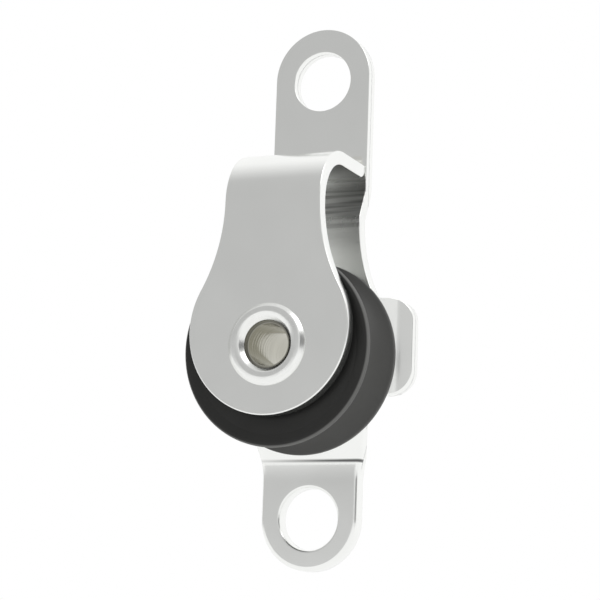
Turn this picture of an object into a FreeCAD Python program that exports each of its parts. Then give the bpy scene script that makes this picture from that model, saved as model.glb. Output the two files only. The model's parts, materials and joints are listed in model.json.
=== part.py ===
import FreeCAD, Part
import math
import os
from types import SimpleNamespace

import Sketcher
from FreeCAD import Vector

# Upright ball bearing block for small cord: a formed back plate with two screw lugs and two side
# feet, a pear-shaped front cheek welded to it, and a grooved wheel on one row of balls that turns
# about a hollow rivet.
#
# Frame: X to the right, Y to the back, Z up. The origin is the middle between the two screw holes,
# on the flat that lies against the mast or deck, and everything else stands forward of it, at -Y.

os.makedirs("parts", exist_ok=True)
doc = FreeCAD.newDocument("BearingBlock")

# Driving sizes in millimetres

SIZES = [
    ("hole_spacing", 34.8, "between the two screw holes"),
    ("hole_diameter", 4.8, "screw hole in each lug"),
    ("lug_width", 8.0, "width of the lugs, and the diameter of their round ends"),
    ("upper_lug_lead", 0.3, "centre of the upper lug's round end above its screw hole"),
    ("plate_thickness", 1.25, "sheet of the back plate"),
    ("plate_step", 1.15, "how far the back cheek stands off the mounting face"),
    ("step_run", 2.3, "height of each sloped stretch between lug and cheek"),
    ("plate_bend", 0.5, "inside radius of the back plate's bends"),
    ("axle_drop", 5.2, "wheel axis below the middle between the screw holes"),
    ("cheek_radius", 6.45, "round part of both cheeks"),
    ("cheek_rise", 1.15, "centre of the cheeks' round part above the wheel axis"),
    ("neck_width", 7.8, "neck of the front cheek"),
    ("neck_blend", 14.0, "hollow curve from a neck into the round part"),
    ("front_thickness", 1.1, "sheet of the front cheek"),
    ("front_rise", 15.45, "top of the front cheek above the wheel axis"),
    ("front_bend", 3.3, "inside radius of the bend over the cord"),
    ("front_heel", 0.85, "rounded lower corner where the front cheek meets the plate"),
    ("step_below_front", 0.95, "the plate stays flat this far below the front cheek"),
    ("lower_step_drop", 7.7, "top of the lower lug's flat below the wheel axis"),
    ("taper_half_width", 5.3, "half width of the plate just below the feet"),
    ("taper_end_drop", 8.6, "end of the taper below the wheel axis"),
    ("taper_blend", 6.0, "hollow curve at the end of the taper"),
    ("foot_top", 4.7, "upper edge of the feet above the wheel axis"),
    ("foot_bottom", 2.8, "lower edge of the feet below the wheel axis"),
    ("foot_bend_start", 5.75, "inner bend of a foot from the middle"),
    ("foot_step_run", 1.3, "width of the sloped stretch of a foot"),
    ("foot_flat", 1.15, "width of the lip that leans on the mounting face"),
    ("foot_lift", 0.25, "inner end of the lip off the mounting face, its outer edge touches it"),
    ("foot_corner", 1.6, "outer corners of the feet"),
    ("foot_blend", 0.6, "hollow corner above a foot"),
    ("weld_leg", 0.8, "leg of the weld bead on top of the front cheek"),
    ("weld_toe", 0.03, "thickness left at the toes of the weld bead"),
    ("weld_inset", 0.3, "the bead stops this far from each edge"),
    ("wheel_diameter", 15.0, "outside of the wheel"),
    ("wheel_width", 5.9, "wheel between its two faces"),
    ("wheel_gap", 0.35, "clear space between a wheel face and a cheek"),
    ("rim_chamfer", 0.2, "broken edges of the wheel's two rims"),
    ("groove_radius", 2.5, "round bottom of the cord groove"),
    ("groove_root", 11.0, "diameter at the bottom of the cord groove"),
    ("recess_depth", 0.2, "turned recess in each wheel face"),
    ("recess_radius", 7.15, "outer radius of the turned recess"),
    ("ball_diameter", 1.6, "bearing ball"),
    ("ball_circle", 7.9, "diameter of the circle through the ball centres"),
    ("ball_play", 0.04, "play of a ball against each flank of its two tracks"),
    ("track_depth", 0.35, "depth of each ball track"),
    ("race_joint", 0.02, "joint between the two halves of the inner race"),
    ("rivet_bore", 3.2, "hole through the hollow rivet"),
    ("rivet_wall", 0.55, "wall of the hollow rivet"),
    ("rivet_play", 0.02, "radial play of the rivet in the cheeks and the race"),
    ("head_radius", 3.1, "outside of a rolled rivet head"),
    ("head_height", 0.42, "how far a rolled head stands off its cheek"),
    ("head_rim", 0.08, "straight rim at the outside of a head"),
    ("shoulder_radius", 2.88, "where the outer slope of a head steepens"),
    ("shoulder_height", 0.3, "height of a head at its shoulder"),
    ("crest_radius", 2.58, "outside of a head's flat crest"),
    ("crest_width", 0.26, "width of a head's flat crest"),
    ("lip_radius", 2.04, "where the inner slope of a head steepens"),
    ("lip_height", 0.28, "height of a head at its lip"),
    ("mouth_radius", 1.8, "mouth of the rivet's hole"),
    ("mouth_depth", 0.3, "depth of the mouth below the cheek's surface"),
]
BALL_COUNT = 14
FLANK_SHARE = math.tan(math.radians(22.5))  # half a flat of a regular octagon, over its half width

sheet = doc.addObject("Spreadsheet::Sheet", "Sizes")
for row, (alias, value, note) in enumerate(SIZES, start=1):
    sheet.set(f"A{row}", alias)
    sheet.set(f"B{row}", str(value))
    sheet.set(f"C{row}", note)
    sheet.setAlias(f"B{row}", alias)
doc.recompute()


def plain(amount):
    """The number of an amount that may be a Length or a bare number."""
    return amount.value if isinstance(amount, Length) else float(amount)


def wording(amount):
    """The expression of an amount that may be a Length or a bare number."""
    return amount.text if isinstance(amount, Length) else str(amount)


class Length:
    """Millimetres, kept both as a number and as the expression on the sheet that gives it."""

    def __init__(self, value, text):
        self.value = value
        self.text = text

    def __add__(self, other):
        return Length(self.value + plain(other), f"({self.text} + {wording(other)})")

    def __sub__(self, other):
        return Length(self.value - plain(other), f"({self.text} - {wording(other)})")

    def __mul__(self, other):
        return Length(self.value * plain(other), f"({self.text} * {wording(other)})")

    def __truediv__(self, other):
        return Length(self.value / plain(other), f"({self.text} / {wording(other)})")

    def __neg__(self):
        return Length(-self.value, f"(0 - {self.text})")


s = SimpleNamespace()
for alias, _value, _note in SIZES:
    setattr(s, alias, Length(float(getattr(sheet, alias)), f"Sizes.{alias}"))

# Places that follow from the sizes. Depths are counted forward from the mounting face.

lug_front = s.plate_thickness
cheek_back = s.plate_step
cheek_front = s.plate_step + s.plate_thickness
wheel_back = cheek_front + s.wheel_gap
wheel_middle = wheel_back + s.wheel_width / 2
wheel_front = wheel_back + s.wheel_width
front_inner = wheel_front + s.wheel_gap
front_outer = front_inner + s.front_thickness
axle_height = -s.axle_drop
cheek_height = axle_height + s.cheek_rise
front_top = axle_height + s.front_rise
front_underside = front_top - s.front_thickness
upper_step_top = front_underside - s.step_below_front
upper_step_foot = upper_step_top - s.step_run
lower_step_foot = axle_height - s.lower_step_drop
lower_step_top = lower_step_foot + s.step_run
taper_end = axle_height - s.taper_end_drop
foot_top = axle_height + s.foot_top
foot_bottom = axle_height - s.foot_bottom
foot_bend_end = s.foot_bend_start + s.foot_step_run
foot_reach = foot_bend_end + s.foot_flat
foot_bend_front = lug_front + s.foot_lift
upper_hole = s.hole_spacing / 2
lower_hole = -upper_hole
upper_lug_centre = upper_hole + s.upper_lug_lead
lug_radius = s.lug_width / 2
plate_reach = upper_lug_centre + s.lug_width
rivet_radius = s.rivet_bore / 2 + s.rivet_wall
rivet_hole = rivet_radius + s.rivet_play
track_reach = s.ball_diameter / 2 + s.ball_play
race_outer = s.ball_circle / 2 - track_reach + s.track_depth
wheel_bore = s.ball_circle / 2 + track_reach - s.track_depth

# Small helpers for sketches and features


def bind(feature, name, amount):
    """Ties one property of a feature to the sheet."""
    feature.setExpression(name, wording(amount))


def new_body(name):
    body = doc.addObject("PartDesign::Body", name)
    body.Label = name
    return body


def new_sketch(body, name, role):
    """An empty sketch on one of the body's own origin planes, such as XZ_Plane."""
    sketch = body.newObject("Sketcher::SketchObject", name)
    plane = [item for item in body.Origin.OriginFeatures if item.Role == role][0]
    sketch.AttachmentSupport = [(plane, "")]
    sketch.MapMode = "FlatFace"
    return sketch


def hold_point(sketch, geometry, point, x, y, name):
    """Ties a point of a sketch to its two distances from the origin."""
    for kind, axis, amount in (("DistanceX", -2, x), ("DistanceY", -1, y)):
        if isinstance(amount, Length):
            constraint = Sketcher.Constraint(kind, -1, 1, geometry, point, amount.value)
            index = sketch.addConstraint(constraint)
            sketch.renameConstraint(index, name + kind[-1])
            sketch.setExpression(f"Constraints.{name}{kind[-1]}", amount.text)
        else:
            sketch.addConstraint(Sketcher.Constraint("PointOnObject", geometry, point, axis))


def draw_polygon(sketch, corners, name="corner"):
    """A closed outline of straight lines. A corner's 0 is the axis itself, the rest are Lengths."""
    points = [Vector(plain(x), plain(y), 0) for x, y in corners]
    first = sketch.GeometryCount
    count = len(points)
    for i in range(count):
        sketch.addGeometry(Part.LineSegment(points[i], points[(i + 1) % count]), False)
    for i in range(count):
        following = first + (i + 1) % count
        sketch.addConstraint(Sketcher.Constraint("Coincident", first + i, 2, following, 1))
    for i, (x, y) in enumerate(corners):
        hold_point(sketch, first + i, 1, x, y, f"{name}{i}")


def draw_circle(sketch, x, y, radius, name="round"):
    centre = Vector(plain(x), plain(y), 0)
    index = sketch.addGeometry(Part.Circle(centre, Vector(0, 0, 1), radius.value), False)
    hold_point(sketch, index, 3, x, y, name)
    held = sketch.addConstraint(Sketcher.Constraint("Radius", index, radius.value))
    sketch.renameConstraint(held, name + "Radius")
    sketch.setExpression(f"Constraints.{name}Radius", radius.text)


def draw_box(sketch, left, right, bottom, top, name="corner"):
    draw_polygon(sketch, [(left, bottom), (right, bottom), (right, top), (left, top)], name)


def pad(body, sketch, length, midplane=False):
    feature = body.newObject("PartDesign::Pad", sketch.Name + "_pad")
    feature.Profile = sketch
    feature.Midplane = midplane
    bind(feature, "Length", length)
    doc.recompute()
    return feature


def cut(body, sketch, length, midplane=False, forward=True):
    """A pocket, checked to have taken material away. Forward is along the sketch's normal."""
    before = body.Shape.Volume
    feature = body.newObject("PartDesign::Pocket", sketch.Name + "_cut")
    feature.Profile = sketch
    feature.Midplane = midplane
    feature.Reversed = forward
    bind(feature, "Length", length)
    doc.recompute()
    if not body.Shape.Volume < before:
        raise ValueError(f"{feature.Name} cuts nothing")
    return feature


def turn(body, sketch):
    """A solid of revolution about the sketch's horizontal axis."""
    feature = body.newObject("PartDesign::Revolution", sketch.Name + "_turned")
    feature.Profile = sketch
    feature.ReferenceAxis = (sketch, ["H_Axis"])
    feature.Angle = 360
    doc.recompute()
    return feature


def turn_away(body, sketch):
    """A turned groove about the sketch's horizontal axis, checked to have cut."""
    before = body.Shape.Volume
    feature = body.newObject("PartDesign::Groove", sketch.Name + "_groove")
    feature.Profile = sketch
    feature.ReferenceAxis = (sketch, ["H_Axis"])
    feature.Angle = 360
    doc.recompute()
    if not body.Shape.Volume < before:
        raise ValueError(f"{feature.Name} cuts nothing")
    return feature


def edge_names(shape, wanted):
    """The names of the edges for which wanted(edge) holds."""
    return [f"Edge{i}" for i, edge in enumerate(shape.Edges, start=1) if wanted(edge)]


def round_edges(body, name, radius, wanted):
    """A fillet on the chosen edges of a body."""
    base = body.Tip
    names = edge_names(base.Shape, wanted)
    if not names:
        raise ValueError(f"{name} finds no edge")
    feature = body.newObject("PartDesign::Fillet", name)
    feature.Base = (base, names)
    bind(feature, "Radius", radius)
    doc.recompute()
    return feature


def runs_along(edge, axis):
    """Whether an edge is straight and lies along the unit vector axis."""
    if edge.Curve.TypeId != "Part::GeomLine":
        return False
    return abs(abs(edge.tangentAt(edge.FirstParameter).dot(axis)) - 1) < 1e-6


def near(first, second, reach=0.02):
    return abs(first - plain(second)) < reach


ALONG_X = Vector(1, 0, 0)
ALONG_Y = Vector(0, 1, 0)
ALONG_Z = Vector(0, 0, 1)

# Back plate: the blank's outline, seen from the front

blank = new_body("plate_blank")
bar = new_sketch(blank, "lug_bar", "XZ_Plane")
draw_box(bar, -lug_radius, lug_radius, lower_hole, upper_lug_centre)
pad(blank, bar, cheek_front)
for name, height in (("upper_lug_end", upper_lug_centre), ("lower_lug_end", lower_hole)):
    lug_end = new_sketch(blank, name, "XZ_Plane")
    draw_circle(lug_end, 0, height, lug_radius)
    pad(blank, lug_end, cheek_front)
back_round = new_sketch(blank, "back_cheek_round", "XZ_Plane")
draw_circle(back_round, 0, cheek_height, s.cheek_radius)
pad(blank, back_round, cheek_front)
round_edges(
    blank, "upper_neck_blend", s.neck_blend,
    lambda edge: runs_along(edge, ALONG_Y)
    and near(abs(edge.CenterOfMass.x), lug_radius)
    and cheek_height.value < edge.CenterOfMass.z < upper_step_top.value,
)
taper = new_sketch(blank, "taper_below_feet", "XZ_Plane")
draw_polygon(taper, [
    (-s.taper_half_width, foot_bottom), (-lug_radius, taper_end),
    (lug_radius, taper_end), (s.taper_half_width, foot_bottom),
])
pad(blank, taper, cheek_front)
round_edges(
    blank, "taper_end_blend", s.taper_blend,
    lambda edge: runs_along(edge, ALONG_Y)
    and near(abs(edge.CenterOfMass.x), lug_radius)
    and near(edge.CenterOfMass.z, taper_end),
)
feet_outline = new_sketch(blank, "feet_outline", "XZ_Plane")
draw_box(feet_outline, -foot_reach, foot_reach, foot_bottom, foot_top)
pad(blank, feet_outline, cheek_front)
round_edges(
    blank, "foot_corners", s.foot_corner,
    lambda edge: runs_along(edge, ALONG_Y) and near(abs(edge.CenterOfMass.x), foot_reach),
)
round_edges(
    blank, "foot_blends", s.foot_blend,
    lambda edge: runs_along(edge, ALONG_Y)
    and near(edge.CenterOfMass.z, foot_top)
    and abs(edge.CenterOfMass.x) < s.cheek_radius.value,
)
for name, height in (("upper_screw_hole", upper_hole), ("lower_screw_hole", lower_hole)):
    screw_hole = new_sketch(blank, name, "XZ_Plane")
    draw_circle(screw_hole, 0, height, s.hole_diameter / 2)
    cut(blank, screw_hole, cheek_front)
axle_hole = new_sketch(blank, "back_axle_hole", "XZ_Plane")
draw_circle(axle_hole, 0, axle_height, rivet_hole)
cut(blank, axle_hole, cheek_front)

# Back plate: the side view of its bends, from lug to cheek to lug

strip = new_body("plate_strip")
side_view = new_sketch(strip, "strip_side_view", "YZ_Plane")
draw_polygon(side_view, [
    (0, -plate_reach), (0, lower_step_foot), (-cheek_back, lower_step_top),
    (-cheek_back, upper_step_foot), (0, upper_step_top), (0, plate_reach),
    (-lug_front, plate_reach), (-lug_front, upper_step_top), (-cheek_front, upper_step_foot),
    (-cheek_front, lower_step_top), (-lug_front, lower_step_foot), (-lug_front, -plate_reach),
])
pad(strip, side_view, s.foot_bend_start * 2, midplane=True)


def bend_edges(hollow, axis, lift=0):
    """Picks the bend lines along axis that are hollow, or the ones that stand proud.

    lift is how far the outer end of the sheet stands off the mounting face at its bend.
    """

    def wanted(edge):
        if not runs_along(edge, axis):
            return False
        middle = edge.CenterOfMass
        along = abs(middle.z) if axis == ALONG_X else abs(middle.x)
        if near(along, plate_reach if axis == ALONG_X else foot_reach):
            return False
        back_of_lug = near(middle.y, -lift)
        front_of_cheek = near(middle.y, -cheek_front)
        front_of_lug = near(middle.y, -lug_front - lift)
        back_of_cheek = near(middle.y, -cheek_back)
        proud = back_of_lug or front_of_cheek
        return (front_of_lug or back_of_cheek) if hollow else proud

    return wanted


plate_bend_outside = s.plate_bend + s.plate_thickness
round_edges(strip, "inside_bends", s.plate_bend, bend_edges(True, ALONG_X))
round_edges(strip, "outside_bends", plate_bend_outside, bend_edges(False, ALONG_X))

# Back plate: the two feet, seen from above

feet = new_body("plate_feet")
top_view = new_sketch(feet, "feet_top_view", "XY_Plane")
draw_polygon(top_view, [
    (-foot_reach, 0), (-foot_bend_end, -s.foot_lift), (-s.foot_bend_start, -cheek_back),
    (s.foot_bend_start, -cheek_back), (foot_bend_end, -s.foot_lift), (foot_reach, 0),
    (foot_reach, -lug_front), (foot_bend_end, -foot_bend_front),
    (s.foot_bend_start, -cheek_front), (-s.foot_bend_start, -cheek_front),
    (-foot_bend_end, -foot_bend_front), (-foot_reach, -lug_front),
])
pad(feet, top_view, s.foot_top + s.foot_bottom)
bind(feet, "Placement.Base.z", foot_bottom)
round_edges(feet, "inside_foot_bends", s.plate_bend, bend_edges(True, ALONG_Z, s.foot_lift))
round_edges(feet, "outside_foot_bends", plate_bend_outside, bend_edges(False, ALONG_Z, s.foot_lift))

formed = doc.addObject("Part::Fuse", "plate_formed")
formed.Base = strip
formed.Tool = feet
back_plate = doc.addObject("Part::Common", "back_plate")
back_plate.Base = blank
back_plate.Tool = formed
doc.recompute()

# Front cheek: a pear-shaped outline, and the side view of the sheet bent over the cord

pear = new_body("front_outline")
neck = new_sketch(pear, "front_neck", "XZ_Plane")
draw_box(neck, -s.neck_width / 2, s.neck_width / 2, cheek_height, front_top)
pad(pear, neck, front_outer)
front_round = new_sketch(pear, "front_cheek_round", "XZ_Plane")
draw_circle(front_round, 0, cheek_height, s.cheek_radius)
pad(pear, front_round, front_outer)
round_edges(
    pear, "front_neck_blend", s.neck_blend,
    lambda edge: runs_along(edge, ALONG_Y)
    and near(abs(edge.CenterOfMass.x), s.neck_width / 2)
    and cheek_height.value < edge.CenterOfMass.z < front_underside.value,
)
front_axle_hole = new_sketch(pear, "front_axle_hole", "XZ_Plane")
draw_circle(front_axle_hole, 0, axle_height, rivet_hole)
cut(pear, front_axle_hole, front_outer)

hook = new_body("front_hook")
hook_view = new_sketch(hook, "hook_side_view", "YZ_Plane")
hook_foot = cheek_height - s.cheek_radius
draw_polygon(hook_view, [
    (-front_outer, hook_foot), (-front_inner, hook_foot), (-front_inner, front_underside),
    (-lug_front, front_underside), (-lug_front, front_top), (-front_outer, front_top),
])
pad(hook, hook_view, s.cheek_radius * 2, midplane=True)
round_edges(
    hook, "bend_inside", s.front_bend,
    lambda edge: runs_along(edge, ALONG_X)
    and near(edge.CenterOfMass.y, -front_inner) and near(edge.CenterOfMass.z, front_underside),
)
round_edges(
    hook, "bend_outside", s.front_bend + s.front_thickness,
    lambda edge: runs_along(edge, ALONG_X)
    and near(edge.CenterOfMass.y, -front_outer) and near(edge.CenterOfMass.z, front_top),
)
round_edges(
    hook, "heel", s.front_heel,
    lambda edge: runs_along(edge, ALONG_X)
    and near(edge.CenterOfMass.y, -lug_front) and near(edge.CenterOfMass.z, front_underside),
)

front_cheek = doc.addObject("Part::Common", "front_cheek")
front_cheek.Base = pear
front_cheek.Tool = hook
doc.recompute()

# Weld bead with a hollow face, in the corner between the plate and the front cheek's top

weld_bead = new_body("weld_bead")
bead_block = new_sketch(weld_bead, "bead_block", "YZ_Plane")
bead_front = -lug_front - s.weld_leg
bead_top = front_top + s.weld_leg
draw_box(bead_block, bead_front, -lug_front, front_top, bead_top)
pad(weld_bead, bead_block, s.neck_width - s.weld_inset * 2, midplane=True)
bead_hollow = new_sketch(weld_bead, "bead_hollow", "YZ_Plane")
draw_circle(bead_hollow, bead_front, bead_top, s.weld_leg - s.weld_toe)
cut(weld_bead, bead_hollow, s.neck_width, midplane=True)

# Hollow rivet, turned about its own axis and rolled over both cheeks


def head_outline(face, away):
    """Section of one rolled head. face is its cheek's surface, away is -1 in front, 1 behind."""
    return [
        (face - s.mouth_depth * away, s.rivet_bore / 2),
        (face - s.mouth_depth * away, s.mouth_radius),
        (face, s.mouth_radius),
        (face + s.lip_height * away, s.lip_radius),
        (face + s.head_height * away, s.crest_radius - s.crest_width),
        (face + s.head_height * away, s.crest_radius),
        (face + s.shoulder_height * away, s.shoulder_radius),
        (face + s.head_rim * away, s.head_radius),
        (face, s.head_radius),
        (face, rivet_radius),
    ]


hollow_rivet = new_body("hollow_rivet")
rivet_section = new_sketch(hollow_rivet, "rivet_section", "YZ_Plane")
draw_polygon(
    rivet_section,
    head_outline(-front_outer, -1) + list(reversed(head_outline(-cheek_back, 1))),
)
turn(hollow_rivet, rivet_section)
bind(hollow_rivet, "Placement.Base.z", axle_height)

# Inner race in two halves, clamped between the cheeks around the rivet


def turn_ball_track(body, name):
    """Cuts the ball track: an octagon around the ball's own circle, with play on every flat."""
    track = new_sketch(body, name, "YZ_Plane")
    flat = track_reach * FLANK_SHARE
    corners = [
        (track_reach, flat), (flat, track_reach), (-flat, track_reach), (-track_reach, flat),
        (-track_reach, -flat), (-flat, -track_reach), (flat, -track_reach), (track_reach, -flat),
    ]
    draw_polygon(track, [(y - wheel_middle, s.ball_circle / 2 + z) for y, z in corners])
    turn_away(body, track)


def race_half(name, near_end, far_end):
    """One half of the inner race, with half of the ball track at the joint in the middle."""
    body = new_body(name)
    ring = new_sketch(body, name + "_ring", "YZ_Plane")
    draw_polygon(ring, [
        (-near_end, rivet_hole), (-far_end, rivet_hole), (-far_end, race_outer),
        (-near_end, race_outer),
    ])
    turn(body, ring)
    turn_ball_track(body, name + "_track")
    bind(body, "Placement.Base.z", axle_height)
    return body


front_race = race_half("front_race", wheel_middle + s.race_joint / 2, front_inner)
rear_race = race_half("rear_race", cheek_front, wheel_middle - s.race_joint / 2)

# Wheel with its cord groove and the outer ball track

wheel = new_body("wheel")
wheel_ring = new_sketch(wheel, "wheel_ring", "YZ_Plane")
wheel_radius = s.wheel_diameter / 2
draw_polygon(wheel_ring, [
    (-wheel_back, wheel_bore), (-wheel_front, wheel_bore),
    (-wheel_front, wheel_radius - s.rim_chamfer), (s.rim_chamfer - wheel_front, wheel_radius),
    (-wheel_back - s.rim_chamfer, wheel_radius), (-wheel_back, wheel_radius - s.rim_chamfer),
])
turn(wheel, wheel_ring)
for name, face, inwards in (("front_recess", -wheel_front, 1), ("rear_recess", -wheel_back, -1)):
    recess = new_sketch(wheel, name, "YZ_Plane")
    floor = face + s.recess_depth * inwards
    draw_polygon(recess, [
        (face, wheel_bore), (floor, wheel_bore), (floor, s.recess_radius - s.recess_depth),
        (face, s.recess_radius),
    ])
    turn_away(wheel, recess)
cord_groove = new_sketch(wheel, "cord_groove", "YZ_Plane")
draw_circle(cord_groove, -wheel_middle, s.groove_root / 2 + s.groove_radius, s.groove_radius)
turn_away(wheel, cord_groove)
turn_ball_track(wheel, "outer_track")
bind(wheel, "Placement.Base.z", axle_height)

# Balls, evenly spaced in their track

balls = []
for i in range(BALL_COUNT):
    ball = doc.addObject("Part::Sphere", f"ball_{i + 1:02d}")
    ball.Label = f"ball_{i + 1:02d}"
    angle = 2 * math.pi * i / BALL_COUNT
    bind(ball, "Radius", s.ball_diameter / 2)
    bind(ball, "Placement.Base.x", s.ball_circle / 2 * math.cos(angle))
    bind(ball, "Placement.Base.y", -wheel_middle)
    bind(ball, "Placement.Base.z", axle_height + s.ball_circle / 2 * math.sin(angle))
    balls.append(ball)

# Checks, then one file for each piece

doc.recompute()
pieces = [back_plate, front_cheek, weld_bead, hollow_rivet, front_race, rear_race, wheel] + balls
for item in doc.Objects:
    if "Invalid" in item.State or "Error" in item.State:
        raise ValueError(f"{item.Name} failed: {item.State}")
for piece in pieces:
    if piece.Shape.isNull() or not piece.Shape.isValid() or len(piece.Shape.Solids) != 1:
        raise ValueError(f"{piece.Label} is not one valid solid")
for piece in pieces:
    piece.Shape.exportStep(f"parts/{piece.Label}.step")
    box = piece.Shape.BoundBox
    print(
        f"{piece.Label}: {piece.Shape.Volume:.2f} mm3,"
        f" X {box.XMin:.2f} to {box.XMax:.2f}, Y {box.YMin:.2f} to {box.YMax:.2f},"
        f" Z {box.ZMin:.2f} to {box.ZMax:.2f}"
    )
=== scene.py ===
"""Looks of a small upright ball bearing block: formed sheet, a rolled rivet and a black wheel."""

import json
import math

import bpy
from bpy.props import FloatProperty, FloatVectorProperty, PointerProperty
from mathutils import Matrix, Vector


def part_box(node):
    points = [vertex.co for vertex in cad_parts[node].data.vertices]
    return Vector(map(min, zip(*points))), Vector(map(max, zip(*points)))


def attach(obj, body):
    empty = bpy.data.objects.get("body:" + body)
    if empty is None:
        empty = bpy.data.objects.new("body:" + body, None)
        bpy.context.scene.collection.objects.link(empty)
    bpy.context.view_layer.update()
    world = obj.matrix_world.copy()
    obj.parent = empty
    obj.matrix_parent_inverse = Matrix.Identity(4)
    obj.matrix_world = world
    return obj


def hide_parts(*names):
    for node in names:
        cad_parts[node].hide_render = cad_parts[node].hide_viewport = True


bl_info = {
    "name": "Ball Bearing Block",
    "version": (1, 0, 0),
    "blender": (4, 5, 0),
    "location": "3D View > Sidebar > Block",
    "description": "Models and finishes the pieces of a small upright ball bearing block",
    "category": "Object",
}

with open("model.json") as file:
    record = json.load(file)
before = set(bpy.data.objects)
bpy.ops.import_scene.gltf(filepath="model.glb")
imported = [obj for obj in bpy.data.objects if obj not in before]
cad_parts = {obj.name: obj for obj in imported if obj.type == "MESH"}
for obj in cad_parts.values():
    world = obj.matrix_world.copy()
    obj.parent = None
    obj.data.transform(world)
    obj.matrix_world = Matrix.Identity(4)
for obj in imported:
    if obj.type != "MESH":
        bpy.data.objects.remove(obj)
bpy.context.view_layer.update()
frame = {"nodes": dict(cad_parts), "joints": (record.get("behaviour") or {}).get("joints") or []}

MM = 0.001
ARC_CHORD = 0.25 * MM  # greatest distance between the points of an arc
ROUND_STEPS = 160  # steps of a full turn
SAME_POINT = 0.001 * MM  # points of an outline that lie nearer than this are one
SAME_FACE = math.radians(0.2)  # faces that turn less than this against each other are one
SHARP = 0.6  # an edge is rounded where its faces' normals have a smaller dot product
EDGE_SEGMENTS = 4  # faces across a rounded edge
PAST = MM  # how far a tool reaches past the piece that it cuts
PLATE_DEPTH = 4 * MM  # more than the back plate has from front to back
BLOCK_DEPTH = 12 * MM  # more than the whole block has from front to back
HALF_STRIP = 8 * MM  # more than the front cheek has to one side
DRILL_LENGTH = 40 * MM
BALLS = sorted(name for name in frame["nodes"] if name.startswith("ball_"))

# Places read from the frame

wheel_low, wheel_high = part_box("wheel")
plate_low, plate_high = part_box("back_plate")
cheek_low, cheek_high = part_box("front_cheek")
rivet_low, rivet_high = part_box("hollow_rivet")
axle = Vector(frame["joints"][0]["pos_m"])
front_face = cheek_low.y
mounting_face = plate_high.y
back_cheek_front = plate_low.y


def size(name, default, description):
    """A length that a user may change."""
    return FloatProperty(
        name=name, description=description, default=default, min=0.0, unit="LENGTH", precision=5
    )


def share(name, default, description):
    """A factor between 0 and 1 that a user may change."""
    return FloatProperty(
        name=name, description=description, default=default, min=0.0, max=1.0, subtype="FACTOR"
    )


def colour(name, default, description):
    return FloatVectorProperty(
        name=name, description=description, default=default, size=3, min=0.0, max=1.0,
        subtype="COLOR",
    )


class BlockPlateSizes(bpy.types.PropertyGroup):
    """Sizes of the back plate."""

    thickness: size("Thickness", 1.25 * MM, "Sheet of the back plate")
    stand_off: size("Stand-off", 1.15 * MM, "Back cheek off the mounting face")
    bend: size("Bend", 0.5 * MM, "Inside radius of the bends")
    step_run: size("Step", 2.3 * MM, "Height of a sloped stretch between lug and cheek")
    step_top: size("Upper step", 8.2 * MM, "Upper end of the upper step above the origin")
    step_foot: size("Lower step", 12.9 * MM, "Lower end of the lower step below the origin")
    lug_radius: size("Lug radius", 4.0 * MM, "Round end of a lug and half its width")
    hole_radius: size("Hole radius", 2.4 * MM, "Screw hole")
    hole_spacing: size("Hole spacing", 34.8 * MM, "Between the two screw holes")
    cheek_radius: size("Cheek radius", 6.45 * MM, "Round part of the cheeks")
    cheek_rise: size("Cheek rise", 1.15 * MM, "Middle of the round part above the wheel's axis")
    neck_blend: size("Neck blend", 14.0 * MM, "Hollow curve between neck and round part")
    taper_half_width: size("Taper", 5.3 * MM, "Half width just below the feet")
    taper_drop: size("Taper end", 8.6 * MM, "End of the taper below the wheel's axis")
    taper_blend: size("Taper blend", 6.0 * MM, "Hollow curve at the end of the taper")
    foot_top: size("Foot top", 4.7 * MM, "Upper edge of the feet above the wheel's axis")
    foot_bottom: size("Foot bottom", 2.8 * MM, "Lower edge of the feet below the wheel's axis")
    foot_start: size("Foot start", 5.35 * MM, "Inner bend of a foot from the middle")
    foot_run: size("Foot step", 1.72 * MM, "Width of the sloped stretch of a foot")
    foot_lift: size("Foot lift", 0.32 * MM, "Inner end of a foot's lip off the mounting face")
    foot_bend: size("Foot bend", 2.0 * MM, "Hollow bend in front, between a foot's slope and lip")
    foot_corner: size("Foot corner", 1.7 * MM, "Upper outer corners of the feet")
    foot_low_corner: size("Foot low corner", 2.0 * MM, "Lower outer corners of the feet")
    foot_blend: size("Foot blend", 0.6 * MM, "Hollow corner above a foot")
    lower_bend: size("Lower bend", 1.6 * MM, "Hollow bend in front, above the lower lug")
    edge: size("Edge", 0.06 * MM, "Broken edges of the plate")
    worn_edge: size("Worn edge", 0.36 * MM, "Polished front edges below the feet")


class BlockCheekSizes(bpy.types.PropertyGroup):
    """Sizes of the front cheek and its weld."""

    thickness: size("Thickness", 1.1 * MM, "Sheet of the front cheek")
    neck_half_width: size("Neck", 3.9 * MM, "Half width of the neck")
    bend: size("Bend", 3.3 * MM, "Inside radius of the bend over the cord")
    heel: size("Heel", 0.85 * MM, "Rounded lower corner against the plate")
    edge: size("Edge", 0.1 * MM, "Broken edges of the cheek")
    weld_leg: size("Weld leg", 0.8 * MM, "Leg of the weld bead")
    weld_inset: size("Weld inset", 0.3 * MM, "The bead stops this far from each edge")


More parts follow.
